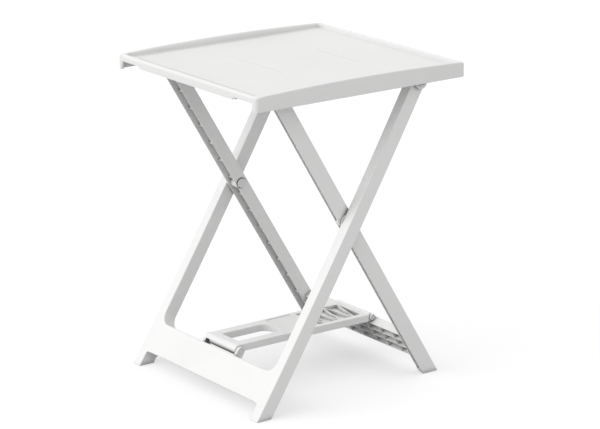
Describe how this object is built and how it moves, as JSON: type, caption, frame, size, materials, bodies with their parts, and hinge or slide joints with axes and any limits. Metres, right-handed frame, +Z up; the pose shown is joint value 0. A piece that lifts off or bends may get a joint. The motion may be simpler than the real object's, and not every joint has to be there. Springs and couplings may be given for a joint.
{
  "type": "folding side table",
  "caption": "Small folding side table: a shallow moulded tray on two crossed leg frames, held open by a hooked tie link.",
  "frame": {"origin": "on the floor, under the middle of the tabletop", "axes": "+X to the right along the front edge, +Y to the back, +Z up"},
  "size_m": [0.43, 0.464, 0.6],
  "materials": {
    "tray_plastic": "satin white polypropylene, fine grain",
    "frame_plastic": "satin white polypropylene",
    "link_plastic": "satin white polypropylene",
    "pin_plastic": "smooth white acetal"
  },
  "bodies": {
    "outer_frame": {"outer_frame": "frame_plastic", "link_hinge_rod": "pin_plastic"},
    "inner_frame": {"inner_frame": "frame_plastic", "pivot_pin_right": "pin_plastic", "pivot_pin_left": "pin_plastic"},
    "tabletop": {"tabletop": "tray_plastic", "top_hinge_pin_right": "pin_plastic", "top_hinge_pin_left": "pin_plastic"},
    "tie_link": {"tie_link": "link_plastic"}
  },
  "joints": [
    {"name": "frame_fold", "type": "hinge", "parent": "outer_frame", "child": "inner_frame", "pos_m": [0, -0.00309, 0.32616], "axis": [1, 0, 0], "range_deg": [0, 117.4]},
    {"name": "top_fold", "type": "hinge", "parent": "outer_frame", "child": "tabletop", "pos_m": [0, 0.1387, 0.568], "axis": [1, 0, 0], "range_deg": [0, 58.7]},
    {"name": "link_lift", "type": "hinge", "parent": "outer_frame", "child": "tie_link", "pos_m": [0, -0.15105, 0.07855], "axis": [1, 0, 0], "range_deg": [0, 58.7]}
  ],
  "couplings": [
    {"joint": "top_fold", "follows": "frame_fold", "ratio": 0.5}
  ]
}
